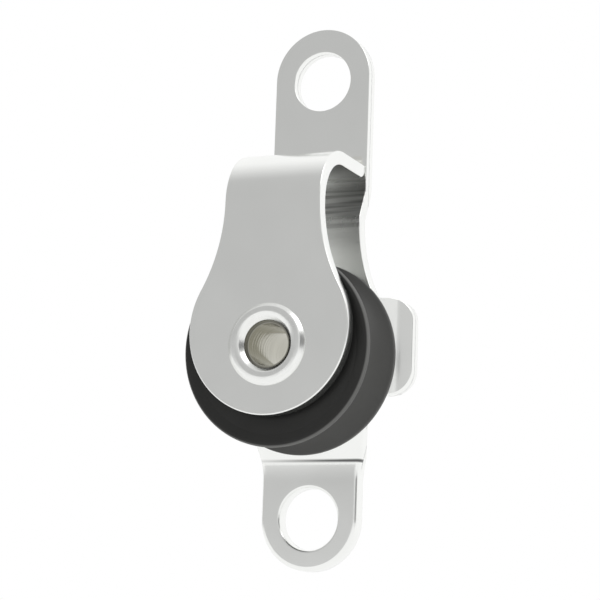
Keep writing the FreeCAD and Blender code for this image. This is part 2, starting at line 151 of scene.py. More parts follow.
class BlockTurnedSizes(bpy.types.PropertyGroup):
    """Sizes of the wheel and the rivet."""

    groove_radius: size("Groove radius", 2.5 * MM, "Round bottom of the cord groove")
    groove_root: size("Groove root", 5.5 * MM, "Radius at the bottom of the cord groove")
    groove_edge: size("Groove edge", 0.08 * MM, "Broken edges beside the cord groove")
    rim_round: size("Rim", 0.22 * MM, "Rounded edges of the wheel's rims")
    recess: size("Recess", 0.12 * MM, "Turned recess in each wheel face")
    recess_slope: size("Recess slope", 0.6 * MM, "Soft slope into the recess")
    recess_radius: size("Recess radius", 7.15 * MM, "Outer radius of the recess")
    recess_round: size("Recess round", 0.1 * MM, "Rounding at both ends of the slope")
    wheel_bore: size("Wheel bore", 4.44 * MM, "Shoulders beside the ball track")
    ball_circle: size("Ball circle", 3.95 * MM, "Radius of the circle of the balls")
    ball_track: size("Ball track", 0.84 * MM, "Round bottom of the ball track")
    rivet_radius: size("Rivet radius", 2.15 * MM, "Outside of the rivet between the heads")
    rivet_hole: size("Rivet hole", 2.17 * MM, "Holes in the cheeks for the rivet")
    rivet_bore: size("Rivet bore", 1.6 * MM, "Radius of the hole through the rivet")
    mouth: size("Mouth", 1.8 * MM, "Radius of the hole at its mouths")
    mouth_depth: size("Mouth depth", 0.3 * MM, "Depth of a mouth below the cheek")
    mouth_round: size("Mouth round", 0.15 * MM, "Rounded edge of a mouth")
    crest: size("Crest", 2.45 * MM, "Radius of a rolled head's crest")
    crest_round: size("Crest round", 0.5 * MM, "Rounding of the crest")
    inner_shoulder: size("Inner shoulder", 0.31 * MM, "A head's inner shoulder inside its crest")
    inner_level: share("Inner level", 0.8, "Height of the inner shoulder as a part of the head's")
    inner_round: size("Inner round", 0.4 * MM, "Rounding of the inner shoulder")
    outer_shoulder: size("Outer shoulder", 0.35 * MM, "A head's outer shoulder outside its crest")
    outer_level: share("Outer level", 0.86, "Height of the outer shoulder as a part of the head's")
    outer_round: size("Outer round", 0.35 * MM, "Rounding of the outer shoulder")
    brim_level: share("Brim level", 0.2, "Height of a head's brim as a part of the head's")
    brim_round: size("Brim round", 0.05 * MM, "Rounding of the brim")


class BlockFinishes(bpy.types.PropertyGroup):
    """Colours and polish."""

    steel: colour("Steel", (0.93, 0.937, 0.918), "Polished sheet steel")
    # Beige of the turned bore, set darker than the heads as painted shade inside the rivet
    bore: colour("Bore", (0.46, 0.45, 0.39), "Turned steel inside the rivet")
    plastic: colour("Wheel faces", (0.026, 0.026, 0.025), "Black plastic of the wheel's faces")
    # A lighter grey of the wheel's own black plastic, painted on the groove as painted light
    groove: colour("Wheel groove", (0.094, 0.094, 0.091), "Black plastic, rubbed grey by the cord")
    race: colour("Races", (0.5, 0.5, 0.5), "Turned steel of the races")
    ball: colour("Balls", (0.66, 0.66, 0.66), "Polished steel of the balls")
    grease: colour("Grease", (0.5, 0.49, 0.46), "Balls under a little grease")
    race_rings: size("Race rings", 0.1 * MM, "Between two tool rings of a race")
    steel_roughness: share("Steel roughness", 0.2, "Polish of the sheet")
    race_roughness: share("Race roughness", 0.3, "Polish of the races")
    plastic_roughness: share("Wheel roughness", 0.42, "Polish of the wheel")


class BlockStage(bpy.types.PropertyGroup):
    """Camera, floor and light."""

    camera_place: FloatVectorProperty(
        name="Camera", description="Where the camera stands", size=3, subtype="TRANSLATION",
        default=(0.06374, -0.14983, -0.02958), precision=5,
    )
    azimuth: FloatProperty(
        name="Azimuth", description="How far to the right the camera stands", subtype="ANGLE",
        default=math.radians(23.64),
    )
    elevation: FloatProperty(
        name="Elevation", description="How high the camera stands", subtype="ANGLE",
        default=math.radians(-10.25),
    )
    roll: FloatProperty(
        name="Roll", description="Turn of the camera about its own axis", subtype="ANGLE",
        default=math.radians(1.98),
    )
    lens: FloatProperty(
        name="Lens", description="Focal length in millimetres", default=126.0, min=1.0,
        subtype="DISTANCE_CAMERA",
    )
    floor_drop: size("Floor", 0.032, "Floor below the origin")
    floor_width: size("Floor width", 4.0, "Side of the square floor")
    studio_light: share("Studio light", 1.0, "Brightness of the white backdrop")
    room_light: share("Room light", 0.53, "Brightness of the room in front and overhead")
    key_light: FloatProperty(
        name="Key", description="Brightness of the soft key lamp's face, white being 1",
        default=1.6, min=0.0,
    )
    key_place: FloatVectorProperty(
        name="Key place", description="Where the key lamp hangs", size=3, subtype="TRANSLATION",
        default=(0.18, -0.075, 0.22), precision=5,
    )
    key_width: size("Key width", 0.16, "Side of the square key lamp")
    flag_direction: FloatVectorProperty(
        name="Flag direction", description="Direction of a dark flag that the steel mirrors",
        size=3, subtype="DIRECTION", default=(0.85, -0.5, 0.1),
    )
    flag_shade: share("Flag shade", 0.8, "How much the flag darkens the room")


class Value:
    """A socket that Python's own arithmetic works on, by adding Math nodes."""

    def __init__(self, graph, socket):
        self.graph = graph
        self.socket = socket

    def __add__(self, other):
        return self.graph.maths("ADD", self, other)

    def __sub__(self, other):
        return self.graph.maths("SUBTRACT", self, other)

    def __rsub__(self, other):
        return self.graph.maths("SUBTRACT", other, self)

    def __mul__(self, other):
        return self.graph.maths("MULTIPLY", self, other)

    def __truediv__(self, other):
        return self.graph.maths("DIVIDE", self, other)

    def __abs__(self):
        return self.graph.maths("ABSOLUTE", self)

    __radd__ = __add__
    __rmul__ = __mul__

    def clamped(self):
        return self.graph.add("ShaderNodeClamp", {}, {0: self})


class Graph:
    """The node tree of one material or world, filled by code."""

    def __init__(self, tree):
        tree.nodes.clear()
        self.tree = tree

    def add(self, kind, settings, sockets, output=0):
        """One node: its settings first, then the values or links of its sockets."""
        node = self.tree.nodes.new(kind)
        for name, setting in settings.items():
            if name == "stops":
                self.set_stops(node.color_ramp, setting)
            else:
                setattr(node, name, setting)
        for name, value in sockets.items():
            if isinstance(value, Value):
                self.tree.links.new(value.socket, node.inputs[name])
            else:
                node.inputs[name].default_value = value
        return Value(self, node.outputs[output]) if len(node.outputs) else node

    def set_stops(self, ramp, stops):
        while len(ramp.elements) < len(stops):
            ramp.elements.new(1.0)
        for element, (position, level) in zip(ramp.elements, stops):
            element.position = position
            element.color = (level, level, level, 1.0)

    def maths(self, operation, *values):
        settings = {"operation": operation}
        return self.add("ShaderNodeMath", settings, dict(enumerate(values)))

    def ramp(self, value, stops):
        return self.add("ShaderNodeValToRGB", {"stops": stops}, {"Fac": value})

    def place(self):
        """Object coordinates, in metres."""
        return self.add("ShaderNodeTexCoord", {}, {}, "Object")

    def stretched(self, place, scale):
        return self.add("ShaderNodeMapping", {}, {"Vector": place, "Scale": scale})

    def noise(self, place, scale, detail=2.0):
        sockets = {"Vector": place, "Scale": scale, "Detail": detail}
        return self.add("ShaderNodeTexNoise", {}, sockets)

    def off_axle(self, place):
        """Distance from the wheel's axis."""
        sockets = {0: place, 1: tuple(axle)}
        across = self.add("ShaderNodeVectorMath", {"operation": "SUBTRACT"}, sockets)
        sockets = {0: across, 1: (1.0, 0.0, 1.0)}
        level = self.add("ShaderNodeVectorMath", {"operation": "MULTIPLY"}, sockets)
        return self.add("ShaderNodeVectorMath", {"operation": "LENGTH"}, {0: level}, "Value")

    def axis(self, place, name):
        return self.add("ShaderNodeSeparateXYZ", {}, {"Vector": place}, name)

    def blend(self, factor, first, second):
        sockets = {"Factor": factor, 6: first, 7: second}
        return self.add("ShaderNodeMix", {"data_type": "RGBA"}, sockets, 2)

    def toned(self, factor, triple, low, high):
        """A colour between two levels of its brightness."""
        return self.blend(factor, rgba(triple, low), rgba(triple, high))

    def waves(self, along, pitch, wobble):
        """Ripples from -1 to 1 along a distance, shifted by a wobble."""
        return self.maths("SINE", (along / pitch + wobble) * math.tau)

    def bump(self, height, strength, distance, under=None):
        """A bump, laid over the bump under it where there is one."""
        sockets = {"Strength": strength, "Distance": distance, "Height": height}
        if under is not None:
            sockets["Normal"] = under
        return self.add("ShaderNodeBump", {}, sockets)

    def finish(self, sockets):
        """The Principled shader and the material's output."""
        shader = self.add("ShaderNodeBsdfPrincipled", {}, sockets)
        self.add("ShaderNodeOutputMaterial", {}, {"Surface": shader})


def new_material(name):
    material = bpy.data.materials.new(name)
    material.use_nodes = True
    return material, Graph(material.node_tree)


def rgba(triple, level=1.0):
    return tuple(channel * level for channel in triple) + (1.0,)


def band(height, middle, half_width):
    """1 where a height is the middle one, falling to 0 at half_width from it."""
    return (1.0 - abs(height - middle) / half_width).clamped()


def plate_shade(g, place, plate):
    """Marks of the back plate, each from 0 to 1.

    They are painted shade in the crease above the lower lug, painted shade on the face behind the
    cord, which is also left dull as it was rolled, and the height of a shallow hollow below the
    crease.
    """
    skin = 0.12 * MM  # how deep the finish of a face reaches
    mid_sheet, front_fade = 0.6 * MM, 0.1 * MM
    crease_level, crease_half_width = -plate.step_foot - 0.03 * MM, 0.17 * MM
    hollow_low, hollow_height = -plate.step_foot - 1.6 * MM, 1.55 * MM
    shade_and_dull_low, shade_and_dull_fade = 3.5 * MM, 3 * MM
    weld_low, weld_fade = 9 * MM, 0.8 * MM
    depth, level = g.axis(place, "Y"), g.axis(place, "Z")
    thicker = (g.axis(place, "X") / (2.4 * plate.lug_radius) + 0.6).clamped()
    in_front = ((-mid_sheet - depth) / front_fade).clamped()
    # Painted shade: a dark line along the crease above the lower lug, thicker to the right
    crease = band(level, crease_level, crease_half_width) * thicker * in_front * 1.5
    hollow = ((level - hollow_low) / hollow_height).clamped()
    step_foot = plate.step_top - plate.step_run
    climb = ((level - step_foot) / plate.step_run).clamped() * plate.stand_off
    # Painted shade, with a duller finish, on the plate's face behind the cord, between wheel and
    # weld
    on_face = band(depth, climb + back_cheek_front, skin)
    above_wheel = ((level - shade_and_dull_low) / shade_and_dull_fade).clamped()
    below_weld = ((weld_low - level) / weld_fade).clamped()
    return crease.clamped(), on_face * above_wheel * below_weld, hollow * hollow * in_front


def inside_hook(g, place, cheek):
    """Marks of the front cheek, each from 0 to 1: painted shade on its inner side, dull as rolled.

    That side is the one above the wheel, round the bend and under the top.
    """
    skin, wheel_fade = 0.03 * MM, 2 * MM
    middle_y = front_face + cheek.thickness + cheek.bend
    middle_z = cheek_high.z - cheek.thickness - cheek.bend
    forward = g.maths("MAXIMUM", middle_y - g.axis(place, "Y"), 0.0)
    upward = g.maths("MAXIMUM", g.axis(place, "Z") - middle_z, 0.0)
    radius = g.maths("SQRT", forward * forward + upward * upward)
    above_wheel = ((g.axis(place, "Z") - middle_z) / wheel_fade + 0.9).clamped()
    # Painted shade, with a duller finish, on the cheek's inner side
    return 0.0, band(radius, cheek.bend, skin) * above_wheel, 0.0


def sheet_steel(name, finishes, shade):
    """Polished stainless sheet: faint clouds, hair scratches and a fine tumbled grain.

    shade(graph, place) says where painted shade darkens a crease, where painted shade darkens a
    face that is also dull as it was rolled, and how high a hollow's side stands.
    """
    # Colour levels of the painted shade: on the faces behind the cord, and in the crease
    painted_shade_tone, crease_shade_tone, hollow_depth = 0.18, 0.14, 0.056 * MM
    material, g = new_material(name)
    place = g.place()
    clouds = g.noise(place, 260.0)
    grain = g.noise(place, 5200.0, 3.0)
    hairs = g.noise(g.stretched(place, (9000.0, 9000.0, 420.0)), 1.0, 1.0)
    scratches = g.ramp(hairs, [(0.30, 0.0), (0.36, 1.0)])
    tone = g.toned(clouds, finishes.steel, 0.965, 1.03)
    crease_shade, shade_and_dull, hollow = shade(g, place)
    # Streaky painted shade on the faces behind the cord and inside the hook, which are also made
    # rougher
    lines = g.noise(g.stretched(place, (90.0, 90.0, 2300.0)), 1.0, 2.0)
    streaks = g.ramp(lines, [(0.42, 0.0), (0.62, 1.0)])
    tone = g.blend(shade_and_dull * (0.16 + streaks * 0.6), tone, rgba(finishes.steel, painted_shade_tone))
    # Painted shade: the crease is coloured nearly black
    tone = g.blend(crease_shade, tone, rgba(finishes.steel, crease_shade_tone))
    roughness = finishes.steel_roughness + clouds * 0.05 + (1.0 - scratches) * 0.02
    roughness = roughness + shade_and_dull * 0.08
    tilted = g.bump(hollow, 1.0, hollow_depth)
    normal = g.bump(grain * 0.8 + scratches * 0.2, 0.12, 0.006 * MM, tilted)
    g.finish({"Base Color": tone, "Metallic": 1.0, "Roughness": roughness, "Normal": normal})
    return material


def race_steel(finishes):
    """Turned steel with rings about the wheel's axis."""
    material, g = new_material("turned_race_steel")
    place = g.place()
    depth = g.axis(place, "Y")
    wobble = g.noise(place, 900.0) * 0.25
    rings = g.waves(depth, finishes.race_rings, wobble)
    clouds = g.noise(g.stretched(place, (300.0, 1500.0, 300.0)), 1.0)
    tone = g.toned(clouds, finishes.race, 0.9, 1.04)
    normal = g.bump(rings, 0.25, 0.012 * MM)
    roughness = finishes.race_roughness + clouds * 0.08
    g.finish({"Base Color": tone, "Metallic": 1.0, "Roughness": roughness, "Normal": normal})
    return material


def rivet_steel(finishes, turned):
    """Rolled heads, bright and lightly streaked, about a bore with tool rings, darker as painted
    shade.
    """
    ring_pitch = 0.42 * MM
    mouth_edge, mouth_fade, bore_fade = 0.04 * MM, 0.06 * MM, 0.05 * MM
    material, g = new_material("rolled_rivet_steel")
    place = g.place()
    depth = g.axis(place, "Y")
    radius = g.off_axle(place)
    in_bore = ((turned.mouth + mouth_edge - radius) / mouth_fade).clamped()
    mouth_shade = ((radius - turned.rivet_bore - bore_fade) / bore_fade).clamped() * in_bore
    wobble = g.noise(place, 700.0) * 0.5
    rings = g.waves(depth, ring_pitch, wobble)
    fine = g.noise(g.stretched(place, (500.0, 9000.0, 500.0)), 1.0, 1.0)
    streaks = g.noise(g.stretched(place, (1500.0, 6000.0, 1500.0)), 1.0, 2.0)
    head = g.toned(streaks, finishes.steel, 0.93, 1.02)
    # The bore's beige turned steel, made darker as painted shade inside the hole
    bore = g.toned(fine, finishes.bore, 0.8, 1.15)
    tone = g.blend(in_bore, head, bore)
    # Painted shade: a dark ring down each mouth of the bore
    tone = g.blend(mouth_shade * 0.6, tone, rgba(finishes.bore, 0.35))
    height = (rings * 0.12 + fine * 0.9) * in_bore + streaks * 0.25 * (1.0 - in_bore)
    normal = g.bump(height, 0.35, 0.02 * MM)
    roughness = 0.23 - in_bore * 0.13 + fine * 0.06
    g.finish({"Base Color": tone, "Metallic": 1.0, "Roughness": roughness, "Normal": normal})
    return material


def ball_steel(finishes):
    """Hardened steel balls, polished, with a little grease dulling them in patches."""
    material, g = new_material("polished_ball_steel")
    place = g.place()
    grease = g.ramp(g.noise(place, 1800.0), [(0.45, 0.0), (0.62, 1.0)])
    tone = g.blend(grease, rgba(finishes.ball), rgba(finishes.grease))
    normal = g.bump(g.noise(place, 9000.0), 0.1, 0.004 * MM)
    roughness = 0.07 + grease * 0.16
    g.finish({"Base Color": tone, "Metallic": 1.0, "Roughness": roughness, "Normal": normal})
    return material


def welded_steel(finishes):
    """Weld bead: ripples along it and a faint straw tint."""
    ripple_pitch = 0.55 * MM
    material, g = new_material("welded_steel")
    place = g.place()
    along = g.axis(place, "X")
    wobble = g.noise(place, 1100.0) * 0.6
    ripples = g.waves(along, ripple_pitch, wobble)
    tint = g.noise(place, 700.0)
    straw = tuple(channel * part for channel, part in zip(finishes.steel, (0.97, 0.95, 0.9)))
    tone = g.blend(tint, rgba(finishes.steel, 0.96), rgba(straw))
    normal = g.bump(ripples, 0.6, 0.03 * MM)
    roughness = 0.22 + tint * 0.1
    g.finish({"Base Color": tone, "Metallic": 1.0, "Roughness": roughness, "Normal": normal})
    return material


def black_plastic(finishes):
    """Black turned plastic: faint tool rings, a fine grain, and painted light on the groove and
    rims.
    """
    rim_width, fade, rim_highlight_tone = 0.16 * MM, 0.1 * MM, 1.6
    material, g = new_material("black_wheel_plastic")
    place = g.place()
    radius = g.off_axle(place)
    depth = g.axis(place, "Y")
    profile = g.add("ShaderNodeCombineXYZ", {}, {"X": radius * 9000.0, "Y": depth * 9000.0})
    rings = g.noise(profile, 1.0, 1.0)
    grain = g.noise(place, 7000.0)
    clouds = g.noise(place, 400.0)
    from_middle = abs(depth - axle.y)
    half_width = (wheel_high.y - wheel_low.y) / 2
    # Painted light: the groove takes a lighter grey than the faces, a lit copy of the same plastic
    lit_groove = ((half_width - rim_width - from_middle) / fade).clamped()
    face = g.toned(clouds, finishes.plastic, 0.85, 1.15)
    groove = g.toned(clouds, finishes.groove, 0.94, 1.06)
    # Painted highlight: the rims' rounded edges are coloured lighter than the groove
    rim_highlight = ((radius - wheel_high.x + rim_width) / fade).clamped() * (1.0 - lit_groove)
    beside = g.blend(rim_highlight, face, rgba(finishes.groove, rim_highlight_tone))
    tone = g.blend(lit_groove, beside, groove)
    normal = g.bump(rings * 0.6 + grain * 0.4, 0.2, 0.01 * MM)
    roughness = finishes.plastic_roughness + rings * 0.06
    g.finish({"Base Color": tone, "Roughness": roughness, "Normal": normal,
              "Specular IOR Level": 0.25})
    return material


def make_active(piece):
    bpy.ops.object.select_all(action="DESELECT")
    piece.select_set(True)
    bpy.context.view_layer.objects.active = piece


class Pen:
    """Draws an outline in edit mode, from one vertex, with straight runs and arcs."""

    PLANES = {
        "front": (Vector((1, 0, 0)), Vector((0, 0, 1)), Vector((0, -1, 0))),
        "side": (Vector((0, 1, 0)), Vector((0, 0, 1)), Vector((1, 0, 0))),
        "top": (Vector((1, 0, 0)), Vector((0, 1, 0)), Vector((0, 0, 1))),
    }

    def __init__(self, name, plane, u, v):
        self.across, self.up, self.axis = self.PLANES[plane]
        self.at = Vector((u, v))
        self.first = Vector((u, v))
        bpy.ops.object.select_all(action="DESELECT")
        bpy.ops.mesh.primitive_plane_add(size=MM)
        self.piece = bpy.context.object
        self.piece.name = name
        bpy.ops.object.mode_set(mode="EDIT")
        bpy.ops.mesh.select_mode(type="VERT")
        bpy.ops.mesh.merge(type="CENTER")
        bpy.ops.transform.translate(value=self.spot(self.at))

    def spot(self, point):
        return self.across * point[0] + self.up * point[1]

    def line(self, u, v):
        """A straight run to a point."""
        goal = Vector((u, v))
        if (goal - self.at).length > 1e-9:
            step = self.spot(goal) - self.spot(self.at)
            bpy.ops.mesh.extrude_region_move(TRANSFORM_OT_translate={"value": step})
            self.at = goal

    def arc(self, u, v, degrees):
        """An arc about a centre, counter-clockwise as the outline is seen."""
        centre = Vector((u, v))
        length = abs(math.radians(degrees)) * (self.at - centre).length
        steps = max(3, math.ceil(abs(degrees) / 10), math.ceil(length / ARC_CHORD))
        bpy.ops.mesh.spin(
            steps=steps, angle=-math.radians(degrees), center=self.spot(centre), axis=self.axis
        )
        self.at = centre + Matrix.Rotation(math.radians(degrees), 2) @ (self.at - centre)

    def path(self, corners, end=None):
        """Straight runs through corners (u, v, rounding) to an end, or back to the start."""
        points = [self.at] + [Vector(corner[:2]) for corner in corners]
        points.append(self.first if end is None else Vector(end))
        for before, corner, after, (_u, _v, radius) in zip(points, points[1:], points[2:], corners):
            if radius > 0:
                inwards = (corner - before).normalized()
                onwards = (after - corner).normalized()
                turn = math.atan2(inwards.cross(onwards), inwards.dot(onwards))
                start = corner - inwards * radius * math.tan(abs(turn) / 2)
                if (start - self.at).dot(inwards) < 0:
                    raise ValueError(f"{self.piece.name} has no room for a corner of {radius}")
                self.line(*start)
                side = Vector((-inwards.y, inwards.x)) * math.copysign(radius, turn)
                self.arc(*(start + side), math.degrees(turn))
            else:
                self.line(*corner)
        self.line(*points[-1])

    def mirror(self):
        """Adds the left half of an outline whose right half is drawn."""
        bpy.ops.mesh.select_all(action="SELECT")
        bpy.ops.mesh.duplicate()
        bpy.ops.transform.resize(value=(-1, 1, 1), center_override=(0, 0, 0))

    def merged(self):
        bpy.ops.mesh.select_all(action="SELECT")
        bpy.ops.mesh.remove_doubles(threshold=SAME_POINT)

    def done(self):
        bpy.ops.mesh.select_all(action="SELECT")
        bpy.ops.mesh.normals_make_consistent(inside=False)
        bpy.ops.object.mode_set(mode="OBJECT")
        return self.piece

    def solid(self, start, end):
        """Fills the outline and makes it a solid between two levels along its axis."""
        self.merged()
        bpy.ops.mesh.edge_face_add()
        bpy.ops.transform.translate(value=self.axis * start)
        bpy.ops.mesh.extrude_region_move(
            TRANSFORM_OT_translate={"value": self.axis * (end - start)}
        )
        return self.done()

    def turned(self):
        """Spins the outline once about the wheel's axis."""
        self.merged()
        bpy.ops.mesh.spin(
            steps=ROUND_STEPS, angle=math.tau, center=axle, axis=(0, 1, 0), use_auto_merge=True
        )
        self.merged()
        return self.done()


def combine(piece, tool, operation):
    """Unites, intersects or cuts a piece with a tool, which is used up."""
    modifier = piece.modifiers.new(operation, "BOOLEAN")
    modifier.operation = operation
    modifier.solver = "EXACT"
    modifier.object = tool
    make_active(piece)
    bpy.ops.object.modifier_apply(modifier=modifier.name)
    bpy.data.objects.remove(tool)


def drill(piece, height, radius):
    """Cuts a round hole through a sheet, at a height on the middle line."""
    bpy.ops.object.select_all(action="DESELECT")
    bpy.ops.mesh.primitive_cylinder_add(
        vertices=ROUND_STEPS, radius=radius, depth=DRILL_LENGTH, location=(0, 0, height),
        rotation=(math.pi / 2, 0, 0),
    )
    combine(piece, bpy.context.object, "DIFFERENCE")


def join_faces(piece):
    """Takes out the edges that booleans leave within a flat face."""
    make_active(piece)
    bpy.ops.object.mode_set(mode="EDIT")
    bpy.ops.mesh.select_all(action="SELECT")
    bpy.ops.mesh.remove_doubles(threshold=2 * SAME_POINT)
    bpy.ops.mesh.dissolve_limited(angle_limit=SAME_FACE)
    bpy.ops.object.mode_set(mode="OBJECT")


def break_edges(piece, width_at, widest):
    """Rounds the sharp edges of formed sheet, each by the width that width_at gives its place."""
    mesh = piece.data
    normals = {}
    for face in mesh.polygons:
        for key in face.edge_keys:
            normals.setdefault(key, []).append(face.normal)
    weights = mesh.attributes.new("bevel_weight_edge", "FLOAT", "EDGE")
    for edge in mesh.edges:
        sides = normals.get(edge.key, [])
        if len(sides) == 2 and sides[0].dot(sides[1]) < SHARP:
            middle = (mesh.vertices[edge.vertices[0]].co + mesh.vertices[edge.vertices[1]].co) / 2
            weights.data[edge.index].value = width_at(middle) / widest
    bevel = piece.modifiers.new("edges", "BEVEL")
    bevel.limit_method = "WEIGHT"
    bevel.width = widest
    bevel.segments = EDGE_SEGMENTS
    bevel.use_clamp_overlap = False
    make_active(piece)
    bpy.ops.object.modifier_apply(modifier=bevel.name)


def smooth(piece, degrees=35.0):
    """Smooth shading up to an angle, with flat faces kept flat."""
    make_active(piece)
    bpy.ops.object.shade_smooth_by_angle(angle=math.radians(degrees))
    weighted = piece.modifiers.new("weighted", "WEIGHTED_NORMAL")
    weighted.keep_sharp = True
    bpy.ops.object.modifier_apply(modifier=weighted.name)


def dress(piece, body, material, slot, *nodes):
    """Gives a finished piece its material, its body and the nodes that it stands for."""
    piece.data.materials.clear()
    piece.data.materials.append(material)
    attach(piece, body)
    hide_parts(*nodes)


def blend_centre(half_width, blend, round_radius, round_height):
    """Middle of the hollow curve between a straight side and a circle on the middle line."""
    x = half_width + blend
    z = round_height + math.sqrt((round_radius + blend) ** 2 - x ** 2)
    return Vector((x, z))


def degrees_between(centre, start, end):
    """Turn from one point to another about a centre, between -180 and 180 degrees."""
    first = start - centre
    second = end - centre
    return math.degrees(math.atan2(first.cross(second), first.dot(second)))


class BLOCK_OT_plate(bpy.types.Operator):
    """Back plate with its lugs, steps and feet"""

    bl_idname = "block.plate"
    bl_label = "Back plate"

    def outline(self, s):
        """The blank, seen from the front."""
        middle = Vector((0, axle.z + s.cheek_rise))
        upper = plate_high.z - s.lug_radius
        side = plate_high.x - SAME_POINT
        foot_top = axle.z + s.foot_top
        foot_bottom = axle.z - s.foot_bottom
        neck = blend_centre(s.lug_radius, s.neck_blend, s.cheek_radius, middle.y)
        pen = Pen("plate_blank", "front", 0, upper + s.lug_radius)
        pen.arc(0, upper, -90)
        pen.line(s.lug_radius, neck.y)
        drop = neck.y - foot_top - s.foot_blend
        across = math.sqrt((s.neck_blend - s.foot_blend) ** 2 - drop ** 2)
        hollow = Vector((neck.x - across, foot_top + s.foot_blend))
        above_foot = neck + (hollow - neck).normalized() * s.neck_blend
        pen.arc(*neck, degrees_between(neck, pen.at, above_foot))
        pen.arc(*hollow, degrees_between(hollow, pen.at, Vector((hollow.x, foot_top))))
        pen.line(side - s.foot_corner, foot_top)
        pen.arc(side - s.foot_corner, foot_top - s.foot_corner, -90)
        pen.line(side, foot_bottom + s.foot_low_corner)
        pen.arc(side - s.foot_low_corner, foot_bottom + s.foot_low_corner, -90)
        pen.line(s.taper_half_width, foot_bottom)
        taper_end = Vector((s.lug_radius, axle.z - s.taper_drop))
        slope = (taper_end - pen.at).normalized()
        turn = math.atan2(slope.cross(Vector((0, -1))), slope.dot(Vector((0, -1))))
        reach = s.taper_blend * math.tan(abs(turn) / 2)
        pen.line(*(taper_end - slope * reach))
        pen.arc(s.lug_radius + s.taper_blend, taper_end.y - reach, math.degrees(turn))
        pen.line(s.lug_radius, -s.hole_spacing / 2)
        pen.arc(0, -s.hole_spacing / 2, -90)
        pen.mirror()
        return pen.solid(-PAST, PLATE_DEPTH)

    def side_view(self, s):
        """The strip bent from lug to cheek to lug, seen from the side."""
        outer = s.bend + s.thickness
        reach = plate_high.z + PAST
        back, cheek_back = mounting_face, mounting_face - s.stand_off
        front, cheek_front = back - s.thickness, back_cheek_front
        step_foot = s.step_top - s.step_run
        low_top = s.step_run - s.step_foot
        pen = Pen("plate_strip", "side", back, -reach)
        pen.path([
            (front, -reach, 0), (front, -s.step_foot, s.lower_bend),
            (cheek_front, low_top, outer),
            (cheek_front, step_foot, outer), (front, s.step_top, s.bend), (front, reach, 0),
            (back, reach, 0), (back, s.step_top, outer), (cheek_back, step_foot, s.bend),
            (cheek_back, low_top, s.bend), (back, -s.step_foot, outer),
        ])
        return pen.solid(-s.cheek_radius, s.cheek_radius)

    def feet_room(self, s, low, high):
        """The stretch of the strip that the feet take the place of."""
        side = 2 * s.cheek_radius
        front, behind = back_cheek_front - PAST, mounting_face + PAST
        pen = Pen("feet_room", "top", -side, front)
        pen.path([(side, front, 0), (side, behind, 0), (-side, behind, 0)])
        return pen.solid(low, high)

    def feet(self, s, low, high):
        """The two feet, seen from above."""
        outer = s.bend + s.thickness
        reach = plate_high.x + PAST
        back, cheek_back = mounting_face, mounting_face - s.stand_off
        front, cheek_front = back - s.thickness, back_cheek_front
        start, end = s.foot_start, s.foot_start + s.foot_run
        rise = s.foot_lift / (plate_high.x - end)
        back_end, front_end = back - s.foot_lift, front - s.foot_lift
        back_tip, front_tip = back + rise * PAST, front + rise * PAST
        pen = Pen("plate_feet", "top", -reach, back_tip)
        pen.path([
            (-reach, front_tip, 0), (-end, front_end, s.foot_bend), (-start, cheek_front, outer),
            (start, cheek_front, outer), (end, front_end, s.foot_bend), (reach, front_tip, 0),
            (reach, back_tip, 0), (end, back_end, outer), (start, cheek_back, s.bend),
            (-start, cheek_back, s.bend), (-end, back_end, outer),
        ])
        return pen.solid(low, high)

    def edge_width(self, s, low, high):
        """How wide an edge is rounded by its place, with the feet between two levels."""
        near = 0.01 * MM
        worn_high = low - 0.05 * MM
        front_side = mounting_face - 0.7 * s.thickness
        worn_hole = 0.6 * s.worn_edge

        def width(place):
            at_join = min(abs(place.z - low), abs(place.z - high)) < near
            if at_join and abs(place.x) < plate_high.x - s.foot_corner:
                return 0.0
            if place.y > front_side or place.z > worn_high:
                return s.edge
            off_hole = math.hypot(place.x, place.z + s.hole_spacing / 2)
            return s.worn_edge if off_hole > s.hole_radius + s.edge else worn_hole

        return width

    def execute(self, context):
        s = context.scene.block_plate
        plate = self.side_view(s)
        low = axle.z - s.foot_bottom
        high = axle.z + s.foot_top + s.foot_blend
        combine(plate, self.feet_room(s, low, high), "DIFFERENCE")
        combine(plate, self.feet(s, low, high), "UNION")
        combine(plate, self.outline(s), "INTERSECT")
        for height in (s.hole_spacing / 2, -s.hole_spacing / 2):
            drill(plate, height, s.hole_radius)
        drill(plate, axle.z, context.scene.block_turned.rivet_hole)
        join_faces(plate)
        break_edges(plate, self.edge_width(s, low, high), s.worn_edge)
        smooth(plate)
        plate.name = "plate_dressed"
        steel = sheet_steel(
            "plate_sheet_steel", context.scene.block_finishes,
            lambda g, place: plate_shade(g, place, s),
        )
        dress(plate, "housing", steel, "plate_steel", "back_plate")
        return {"FINISHED"}


